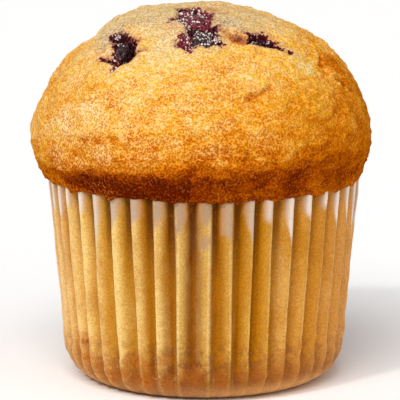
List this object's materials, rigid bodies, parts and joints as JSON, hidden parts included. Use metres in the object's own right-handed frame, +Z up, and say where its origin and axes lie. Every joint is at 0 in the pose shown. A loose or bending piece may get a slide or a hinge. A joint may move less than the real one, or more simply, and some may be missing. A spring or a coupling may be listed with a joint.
{
  "type": "blueberry muffin in a paper case",
  "caption": "Domed blueberry muffin with a browned crust, baked in a pleated paper case, for a bakery shelf, tray or plate.",
  "frame": {"origin": "centre of the paper case's flat base, on the surface it stands on", "axes": "+Z up through the crown, -Y towards the viewer, +X to the viewer's right"},
  "size_m": [0.0688, 0.068, 0.075],
  "materials": {
    "crust": "baked crust, golden to brown, fine pebbly grain with small glossy points",
    "baking_paper": "thin pleated baking paper, soaked golden with butter, dry and near white under the crown",
    "blueberry": "wet purple-black skin, burst and wrinkled in the oven"
  },
  "bodies": {
    "root": {"cake": "crust", "paper_case": "baking_paper", "blueberry_left": "blueberry", "blueberry_middle_front": "blueberry", "blueberry_middle_back": "blueberry", "blueberry_right": "blueberry", "blueberry_back_left": "blueberry", "blueberry_back_right": "blueberry"}
  },
  "joints": []
}
